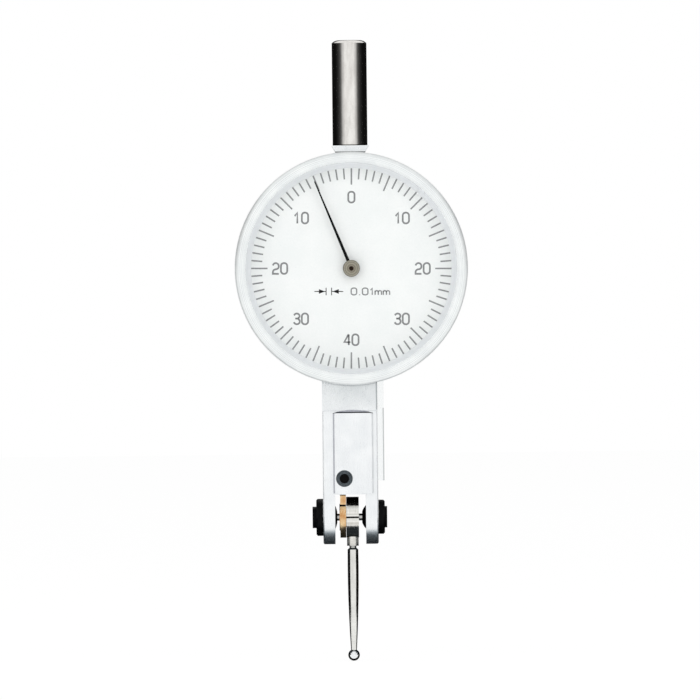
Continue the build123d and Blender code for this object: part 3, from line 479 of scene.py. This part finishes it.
def pointer_hub_finish():
    """Nickel-plated hub of the pointer, turned on its face, with the light and shade of its steps
    painted in rings.
    """
    finish = Finish("pointer_nickel", metallic=0.9)
    turned = finish.rings(0.08 * MM, DIAL_CENTRE, ACROSS_Y)
    finish.colour(turned, linear(112, 109, 98), linear(140, 136, 124))
    # painted light and shade on the hub's steps, and painted shade in its bush
    for radius, shade in POINTER_HUB_STEP_SHADING:
        finish.stain(finish.within_radius(radius, DIAL_CENTRE, ACROSS_Y), linear(*shade))
    finish.rough(turned, 0.25, 0.42)
    return finish.relief(turned, 0.004 * MM).material


def ink_finish(name, dark, light):
    """Printed ink, thinner in places."""
    finish = Finish(name)
    cover = finish.grain(0.25 * MM)
    finish.colour(cover, dark, light)
    return finish.rough(cover, 0.5, 0.65).material


def ruby_finish():
    """Synthetic ruby of the jewel bearings."""
    finish = Finish("synthetic_ruby", ior=1.76, transmission=0.5)
    cloud = finish.grain(0.5 * MM)
    finish.colour(cloud, linear(150, 8, 40), linear(196, 22, 62))
    return finish.rough(cloud, 0.04, 0.10).material


def rubber_finish():
    """Matt black rubber of the gasket."""
    finish = Finish("gasket_rubber")
    grain = finish.grain(0.08 * MM)
    finish.colour(grain, linear(22, 22, 23), linear(44, 44, 45))
    return finish.rough(grain, 0.6, 0.8).material


def steel_finish(name, dark, light):
    """Small steel parts of the movement."""
    finish = Finish(name, metallic=1.0)
    grain = finish.grain(0.08 * MM, stretch=(1.0, 1.0, 0.3))
    finish.colour(grain, dark, light)
    finish.rough(grain, 0.18, 0.34)
    return finish.relief(grain, 0.002 * MM).material


def dress_nodes():
    """Give every node of the frame the finish of its material slot."""
    by_slot = {
        "case_aluminium": case_finish(),
        "bezel_aluminium": bezel_finish(),
        "polished_steel": stem_finish(),
        "screw_steel": screw_finish("screw_steel_face", linear(168, 168, 166), linear(214, 214, 211)),
        "dark_screw": screw_finish(
            "screw_black_face", linear(62, 68, 72), linear(92, 99, 103), socket=True),
        "black_bearing": bearing_finish(),
        "spring_steel": steel_finish("blued_spring", linear(96, 104, 122), linear(150, 158, 174)),
        "plate_brass": brass_finish(
            "plate_brass_face", linear(196, 162, 96), linear(228, 198, 134), 0.15 * MM),
        "jewel_ruby": ruby_finish(),
        "crystal_glass": crystal_finish(),
        "gasket_rubber": rubber_finish(),
        "dial_rim_white": rim_finish(),
        "dial_white": dial_finish(),
        "lever_brass": brass_finish(
            "lever_brass_face", linear(203, 148, 94), linear(239, 210, 164), 0.12 * MM,
            shade_boxes=(LEVER_SEAM_SHADE, LEVER_IN_HUB_SHADE)),
        "arbor_steel": steel_finish("arbor_steel_face", linear(186, 186, 184), linear(226, 226, 222)),
        "stylus_steel": stylus_finish(),
        "ball_steel": ball_finish(),
        "needle_black": needle_finish(),
        "pointer_hub_nickel": pointer_hub_finish(),
    }
    for node in nodes.values():
        for holder in node.material_slots:
            holder.material = by_slot[holder.material.name.split(".")[0]]
    own = {
        "stylus_hub": hub_finish(),
        # the centre arbor dark brown: a painted shade for the bottom of the pointer's bush
        "centre_arbor": steel_finish("centre_arbor_painted_shade", linear(30, 22, 17), linear(52, 42, 36)),
    }
    for name, material in own.items():
        for holder in nodes[name].material_slots:
            holder.material = material


# Print on the dial

def arc(centre_x, centre_y, radius_x, radius_y, start, end, steps=10):
    """Points on an elliptic arc. The angles are degrees, anticlockwise from the right."""
    turns = [math.radians(start + (end - start) * i / steps) for i in range(steps + 1)]
    return [(centre_x + radius_x * math.cos(t), centre_y + radius_y * math.sin(t)) for t in turns]


# Each glyph is a list of strokes: points on the stroke's middle line, and whether it closes. Its
# cell is 1 high.

def zero_strokes():
    corner = 0.27
    right = DIGIT_WIDTH - corner
    top = 1 - corner
    points = []
    for x, y, start in ((right, top, 0), (corner, top, 90), (corner, corner, 180), (right, corner, 270)):
        points += arc(x, y, corner, corner, start, start + 90)
    return [(points, True)]


def one_strokes():
    return [([(0.09, 0.68), (0.33, 0.98), (0.33, 0.0)], False)]


def two_strokes():
    bow = arc(0.27, 0.73, 0.27, 0.27, 170, 0) + arc(0.27, 0.68, 0.27, 0.26, 0, -90)
    foot = arc(0.27, 0.15, 0.27, 0.27, 90, 180) + [(0.0, 0.0), (0.55, 0.0)]
    return [(bow + foot, False)]


def three_strokes():
    upper = arc(0.28, 0.765, 0.26, 0.235, 165, -90)
    lower = arc(0.28, 0.265, 0.28, 0.265, 90, -165)
    return [(upper + lower, False), ([(0.14, 0.53), (0.30, 0.53)], False)]


def four_strokes():
    return [([(0.42, 0.0), (0.42, 1.0)], False), ([(0.40, 1.0), (0.0, 0.28), (0.58, 0.28)], False)]


def point_strokes():
    return [([(0.0, -0.04), (0.0, 0.08)], False)]


def small_m_strokes():
    bow = SMALL_M_WIDTH / 4
    strokes = [([(0.0, 0.0), (0.0, SMALL_M_HEIGHT)], False)]
    for left in (0.0, 2 * bow):
        arch = arc(left + bow, SMALL_M_HEIGHT - bow, bow, bow, 180, 0) + [(left + 2 * bow, 0.0)]
        strokes.append((arch, False))
    return strokes


GLYPHS = {
    "0": zero_strokes(),
    "1": one_strokes(),
    "2": two_strokes(),
    "3": three_strokes(),
    "4": four_strokes(),
    ".": point_strokes(),
    "m": small_m_strokes(),
}


class Print:
    """Flat raised ink on the dial. Points are right and up of the dial's centre, in the picture."""

    def __init__(self, name):
        self.name = name
        self.mesh = bmesh.new()

    def place(self, point, proud):
        """A vertex at a point of the print, proud of the dial's face."""
        right, up = point
        turn = CAMERA_ROLL
        x = DIAL_CENTRE.x + right * math.cos(turn) + up * math.sin(turn)
        z = DIAL_CENTRE.z - right * math.sin(turn) + up * math.cos(turn)
        return self.mesh.verts.new((x, DIAL_CENTRE.y - proud, z))

    def stroke(self, points, widths, closed=False):
        """A band of ink along points, with one width or a width at each point."""
        path = [Vector(p) for p in points]
        path = [p for i, p in enumerate(path) if i == 0 or (p - path[i - 1]).length > SAME_POINT]
        if closed and (path[0] - path[-1]).length < SAME_POINT:
            path.pop()
        if not isinstance(widths, (list, tuple)):
            widths = [widths] * len(path)
        sections = []
        for i, (here, width) in enumerate(zip(path, widths)):
            before = path[i - 1] if (i or closed) else None
            after = path[(i + 1) % len(path)] if (closed or i + 1 < len(path)) else None
            arriving = (here - before).normalized() if before is not None else None
            leaving = (after - here).normalized() if after is not None else None
            arriving = arriving if arriving is not None else leaving
            leaving = leaving if leaving is not None else arriving
            along = (arriving + leaving).normalized()
            side = Vector((-along.y, along.x))
            mitre = min(MITRE_MOST, 1 / max(MITRE_SHARPEST, side.dot(Vector((-leaving.y, leaving.x)))))
            offset = side * (width / 2 * mitre)
            sections.append([
                self.place(here + offset, PRINT_PROUD),
                self.place(here - offset, PRINT_PROUD),
                self.place(here - offset, -PRINT_SUNK),
                self.place(here + offset, -PRINT_SUNK),
            ])
        following = sections[1:] + sections[:1] if closed else sections[1:]
        for first, second in zip(sections, following):
            for k in range(4):
                m = (k + 1) % 4
                self.mesh.faces.new((first[k], first[m], second[m], second[k]))
        if not closed:
            self.mesh.faces.new(sections[0][::-1])
            self.mesh.faces.new(sections[-1])

    def glyph(self, character, left, foot, height, width, stretch=1.0):
        """A character of a height, from its lower left corner, in strokes of a width."""
        for points, closed in GLYPHS[character]:
            placed = [(left + x * height * stretch, foot + y * height) for x, y in points]
            self.stroke(placed, width, closed)

    def finish(self, body, slot, material):
        """Make the ink an object that rides on a body."""
        bmesh.ops.recalc_face_normals(self.mesh, faces=self.mesh.faces)
        data = bpy.data.meshes.new(self.name)
        self.mesh.to_mesh(data)
        self.mesh.free()
        data.materials.append(material)
        piece = bpy.data.objects.new(self.name, data)
        bpy.context.collection.objects.link(piece)
        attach(piece, body)
        return piece


def clockwise(angle, radius):
    """A point at an angle from the top, in degrees, and a radius."""
    turn = math.radians(angle)
    return (radius * math.sin(turn), radius * math.cos(turn))


def print_graduations(material):
    """A stroke for each division, and a longer one for every fifth."""
    ink = Print("dial_graduations")
    for division in range(DIVISIONS):
        angle = 360 * division / DIVISIONS
        length = TICK_LONG if division % LONG_EVERY == 0 else TICK_SHORT
        ink.stroke([clockwise(angle, TICK_OUTER - length), clockwise(angle, TICK_OUTER)], TICK_WIDTH)
    ink.finish("bezel", "needle_black", material)


def print_numbers(material):
    """Figures at every tenth division, the same on both sides of the zero."""
    ink = Print("dial_numbers")
    for division in range(0, DIVISIONS, NUMBER_EVERY):
        text = str(min(division, DIVISIONS - division))
        width = (DIGIT_WIDTH + DIGIT_ADVANCE * (len(text) - 1)) * NUMBER_HEIGHT
        across, up = clockwise(360 * division / DIVISIONS, NUMBER_RADIUS)
        for place, digit in enumerate(text):
            left = across - width / 2 + place * DIGIT_ADVANCE * NUMBER_HEIGHT
            ink.glyph(digit, left, up - NUMBER_HEIGHT / 2, NUMBER_HEIGHT, NUMBER_STROKE)
    ink.finish("bezel", "needle_black", material)


def print_unit(material):
    """The value of one division."""
    ink = Print("dial_unit")
    for character, left in UNIT_PLACES:
        stretch = UNIT_STRETCH if character == "0" else 1.0
        foot = UNIT_LINE - UNIT_HEIGHT / 2
        ink.glyph(character, left * MM, foot, UNIT_HEIGHT, UNIT_STROKE, stretch)
    ink.finish("bezel", "needle_black", material)


def print_mark(material):
    """The mark for one division: two bars between two arrows."""
    ink = Print("dial_mark")
    for bar, outward in zip(MARK_BARS, (-1, 1)):
        half = MARK_BAR_HEIGHT / 2
        ink.stroke([(bar, UNIT_LINE - half), (bar, UNIT_LINE + half)], MARK_STROKE)
        tip = bar + outward * MARK_GAP
        base = tip + outward * MARK_HEAD
        ink.stroke([(tip, UNIT_LINE), (base, UNIT_LINE)], [MARK_STROKE / 2, MARK_HEAD_WIDTH])
        ink.stroke([(bar, UNIT_LINE), (bar + outward * MARK_TAIL, UNIT_LINE)], MARK_STROKE)
    ink.finish("bezel", "needle_black", material)


# Studio: white surround, one large soft lamp, and dark cards that only reflections see

X_AXIS, Y_AXIS, Z_AXIS = range(3)
FLOOR_GAP = 0.02 * MM
FLOOR_SIZE = 8.0
FLOOR_ALBEDO = 0.88
FLOOR_WHITE = 0.78
FLOOR_GLOW = 1.11
WORLD_LEVEL = 0.62
LAMP_DISTANCE = 2.6
LAMP_SIZE = (5.2, 5.2)
LAMP_RADIANCE = 1.0

# The cards. A side is a distance to the left and right, a front and a back are places in Y, and a
# top and a level are places in Z. A start in degrees is where a side card's front edge stands,
# counted round the object from straight ahead. Shades are linear, with their place along a fade.
CARD_SHADE = (0.006, 0.006, 0.006, 1.0)
HUB_CARD_SHADE = (0.022, 0.027, 0.030, 1.0)
FOOT_CARD_SHADES = (
    (0.0, (1.0, 1.0, 1.0)), (0.14, (0.54, 0.58, 0.60)), (0.29, (0.20, 0.23, 0.25)),
    (0.41, (0.085, 0.10, 0.11)), (0.52, (0.040, 0.050, 0.056)), (0.75, (0.016, 0.021, 0.024)),
    (1.0, (0.010, 0.014, 0.016)),
)
CARD_SIDE = 0.5
CARD_BACK = 1.87
CARD_TOP = 0.3
HIGH_CARD_SIDE = 0.1
HIGH_CARD_BACK = 0.6
HIGH_CARD_TOP = 0.06
HIGH_CARD_STARTS = {"left": -0.149, "right": -0.159}
HIGH_CARD_FADE = 0.18
HIGH_CARD_SHADES = tuple((place, (shade, shade, shade)) for place, shade in (
    (0.0, 0.90), (0.013, 0.85), (0.26, 0.70), (0.389, 0.42), (0.457, 0.20), (0.531, 0.10),
    (0.618, 0.055), (0.719, 0.028), (0.826, 0.014), (0.958, 0.006),
))
BACK_CARD_SHADE = (0.05, 0.05, 0.05, 1.0)
BACK_CARD_TOP = 1.2
BACK_CARD_SIDE = 1.2
NECK_CARD_START = math.radians(100)
NECK_LEVELS = (-66.0 * MM, -20.0 * MM)
LOW_CARD_SIDE = 0.05
LOW_CARD_START = math.radians(61)
LOW_CARD_BACK = 0.19
BALL_CARD_START = math.radians(86)
BALL_LEVEL = -85.5 * MM
FOOT_CARD_LEVEL = -69.2 * MM
HUB_CARD_FRONT = -6.1 * MM
HUB_CARD_ENDS = (-1.9 * MM, 1.7 * MM)
FOOT_CARD_FRONT = -6.6 * MM
FOOT_CARD_FADE = 6.6 * MM
BALL_CARD_FRONT = -0.85 * MM
FLAT_CARD_BACK = 0.2


def sees_background(tree):
    """1 for what the camera, a mirror or glass sees, and 0 for light on a surface."""
    path = tree.nodes.new("ShaderNodeLightPath")
    total = path.outputs["Is Camera Ray"]
    for ray in ("Is Glossy Ray", "Is Transmission Ray"):
        total = math_node(tree, "MAXIMUM", total, path.outputs[ray])
    return total


def white_world():
    """A white surround that lights the object at a plain level."""
    world = bpy.data.worlds.new("studio_world")
    bpy.context.scene.world = world
    world.use_nodes = True
    tree = world.node_tree
    background = next(n for n in tree.nodes if n.type == "BACKGROUND")
    background.inputs["Color"].default_value = (1.0, 1.0, 1.0, 1.0)
    level = map_range(tree, sees_background(tree), target=(WORLD_LEVEL, 1.0))
    tree.links.new(level, background.inputs["Strength"])


def stage_plane(name, low, high, axis):
    """A flat sheet of the studio, square to an axis, between two corners."""
    sides = [i for i in range(3) if i != axis]
    data = bpy.data.meshes.new(name)
    points = []
    for first, second in ((0, 0), (1, 0), (1, 1), (0, 1)):
        point = list(low)
        point[sides[0]] = (low, high)[first][sides[0]]
        point[sides[1]] = (low, high)[second][sides[1]]
        points.append(point)
    data.from_pydata(points, [], [(0, 1, 2, 3)])
    sheet = bpy.data.objects.new(name, data)
    bpy.context.collection.objects.link(sheet)
    sheet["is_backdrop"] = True
    return sheet


def bare_material(name):
    """A material with an output and no shader yet: the material, its tree and the output's socket."""
    material = bpy.data.materials.new(name)
    material.use_nodes = True
    tree = material.node_tree
    tree.nodes.clear()
    return material, tree, tree.nodes.new("ShaderNodeOutputMaterial").inputs["Surface"]


def white_floor():
    """A light table: it shows as white, lights the object from below and still takes its shadow."""
    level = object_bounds()[0][2] - FLOOR_GAP
    half = FLOOR_SIZE / 2
    floor = stage_plane("studio_floor", (-half, -half, level), (half, half, level), Z_AXIS)
    material, tree, surface = bare_material("studio_floor_white")
    mix = tree.nodes.new("ShaderNodeMixShader")
    paper = tree.nodes.new("ShaderNodeBsdfDiffuse")
    paper.inputs["Color"].default_value = (FLOOR_ALBEDO, FLOOR_ALBEDO, FLOOR_ALBEDO, 1.0)
    glow = tree.nodes.new("ShaderNodeEmission")
    glow.inputs["Strength"].default_value = FLOOR_GLOW
    path = tree.nodes.new("ShaderNodeLightPath")
    diffuse = path.outputs["Is Diffuse Ray"]
    share = math_node(tree, "MULTIPLY_ADD", sees_background(tree), FLOOR_WHITE, diffuse)
    tree.links.new(share, mix.inputs[0])
    tree.links.new(paper.outputs[0], mix.inputs[1])
    tree.links.new(glow.outputs[0], mix.inputs[2])
    tree.links.new(mix.outputs[0], surface)
    floor.data.materials.append(material)


def card_plain(name, shade):
    """A card of one shade."""
    material, tree, surface = bare_material(name)
    glow = tree.nodes.new("ShaderNodeEmission")
    glow.inputs["Color"].default_value = shade
    tree.links.new(glow.outputs[0], surface)
    return material


def card_fade(name, start, span, shades):
    """A card that darkens over a span in Y, from where it starts to the back."""
    material = card_plain(name, CARD_SHADE)
    tree = material.node_tree
    axes = tree.nodes.new("ShaderNodeSeparateXYZ")
    tree.links.new(tree.nodes.new("ShaderNodeTexCoord").outputs["Object"], axes.inputs[0])
    along = map_range(tree, axes.outputs["Y"], source=(start, start + span))
    shade = colour_ramp(tree, along, [(place, (*colour, 1.0)) for place, colour in shades])
    glow = next(n for n in tree.nodes if n.type == "EMISSION")
    tree.links.new(shade, glow.inputs["Color"])
    return material


def dark_card(name, low, high, axis, material):
    """A card that gives polished metal its dark edge and that nothing else sees."""
    card = stage_plane(name, low, high, axis)
    card.data.materials.append(material)
    card.visible_camera = False
    card.visible_diffuse = False
    card.visible_transmission = False
    card.visible_volume_scatter = False
    card.visible_shadow = False


def flat_card(name, left, right, front, level, material):
    """A dark card that lies flat at a level."""
    dark_card(name, (left, front, level), (right, FLAT_CARD_BACK, level), Z_AXIS, material)


def side_cards(black, floor_level):
    """Cards on both sides of the object, nearer or farther and wider or narrower by level."""
    low, high = NECK_LEVELS
    rows = (
        ("ball", LOW_CARD_SIDE, BALL_CARD_START, LOW_CARD_BACK, floor_level, BALL_LEVEL),
        ("low", LOW_CARD_SIDE, LOW_CARD_START, LOW_CARD_BACK, BALL_LEVEL, low),
        ("neck", CARD_SIDE, NECK_CARD_START, CARD_BACK, low, high),
    )
    for row, away, start, back, foot, top in rows:
        front = -away / math.tan(start)
        dark_card(f"card_left_{row}", (-away, front, foot), (-away, back, top), X_AXIS, black)
        dark_card(f"card_right_{row}", (away, front, foot), (away, back, top), X_AXIS, black)
    for side, x in (("left", -HIGH_CARD_SIDE), ("right", HIGH_CARD_SIDE)):
        start = HIGH_CARD_STARTS[side]
        fade = card_fade(f"card_fade_{side}", start, HIGH_CARD_FADE, HIGH_CARD_SHADES)
        back_corner = (x, HIGH_CARD_BACK, HIGH_CARD_TOP)
        dark_card(f"card_{side}_high", (x, start, high), back_corner, X_AXIS, fade)


def back_cards(black, floor_level):
    """Cards behind the object, the upper one a dark grey that the end of the stem mirrors."""
    dark_grey = card_plain("card_dark_grey", BACK_CARD_SHADE)
    low = (-BACK_CARD_SIDE, CARD_BACK, CARD_TOP)
    high = (BACK_CARD_SIDE, CARD_BACK, BACK_CARD_TOP)
    dark_card("card_back_high", low, high, Y_AXIS, dark_grey)
    low = (-CARD_SIDE, CARD_BACK, floor_level)
    high = (CARD_SIDE, CARD_BACK, CARD_TOP)
    dark_card("card_behind", low, high, Y_AXIS, black)


def flat_cards(black, floor_level):
    """Cards under the hub and the fork's feet, and under the ball."""
    blue_black = card_plain("card_blue_black", HUB_CARD_SHADE)
    fade = card_fade("card_fade_feet", FOOT_CARD_FRONT, FOOT_CARD_FADE, FOOT_CARD_SHADES)
    left, right = HUB_CARD_ENDS
    flat_card("card_hub", left, right, HUB_CARD_FRONT, FOOT_CARD_LEVEL, blue_black)
    flat_card("card_foot_left", -CARD_SIDE, left, FOOT_CARD_FRONT, FOOT_CARD_LEVEL, fade)
    flat_card("card_foot_right", right, CARD_SIDE, FOOT_CARD_FRONT, FOOT_CARD_LEVEL, fade)
    flat_card("card_ball", -CARD_SIDE, CARD_SIDE, BALL_CARD_FRONT, floor_level, black)


def dark_cards():
    """The dark surround that only reflections see."""
    black = card_plain("card_black", CARD_SHADE)
    floor_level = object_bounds()[0][2]
    side_cards(black, floor_level)
    back_cards(black, floor_level)
    flat_cards(black, floor_level)


def front_lamp():
    """A very large soft lamp behind the camera."""
    data = bpy.data.lights.new("softbox_front", "AREA")
    data.shape = "RECTANGLE"
    data.size, data.size_y = LAMP_SIZE
    data.energy = LAMP_RADIANCE * math.pi * LAMP_SIZE[0] * LAMP_SIZE[1]
    lamp = bpy.data.objects.new("softbox_front", data)
    bpy.context.collection.objects.link(lamp)
    lamp.visible_glossy = False
    lamp.location = VIEW_CENTRE + Vector((0.0, -LAMP_DISTANCE, 0.0))
    lamp.rotation_euler = (math.radians(90), 0.0, 0.0)


def camera():
    """The photograph's view: from the front, turned by its small angle."""
    data = bpy.data.cameras.new("camera")
    data.sensor_width = SENSOR_WIDTH
    data.lens = SENSOR_WIDTH * CAMERA_DISTANCE / VIEW_WIDTH
    data.clip_start = CLIP_START
    data.clip_end = CLIP_END
    made = bpy.data.objects.new("camera", data)
    bpy.context.collection.objects.link(made)
    right = Vector((math.cos(CAMERA_ROLL), 0.0, -math.sin(CAMERA_ROLL)))
    up = Vector((math.sin(CAMERA_ROLL), 0.0, math.cos(CAMERA_ROLL)))
    back = Vector((0.0, -1.0, 0.0))
    turn = Matrix((right, up, back)).transposed()
    made.matrix_world = Matrix.Translation(VIEW_CENTRE + back * CAMERA_DISTANCE) @ turn.to_4x4()
    bpy.context.scene.camera = made


bpy.context.scene.view_settings.view_transform = "Standard"
camera()
dress_nodes()
grey_ink = ink_finish("dial_grey_ink", linear(116, 118, 119), linear(134, 136, 137))
print_graduations(ink_finish("dial_pale_ink", linear(126, 128, 129), linear(144, 146, 147)))
print_numbers(grey_ink)
print_unit(grey_ink)
print_mark(ink_finish("dial_black_ink", linear(10, 10, 11), linear(20, 20, 21)))
white_world()
white_floor()
dark_cards()
front_lamp()
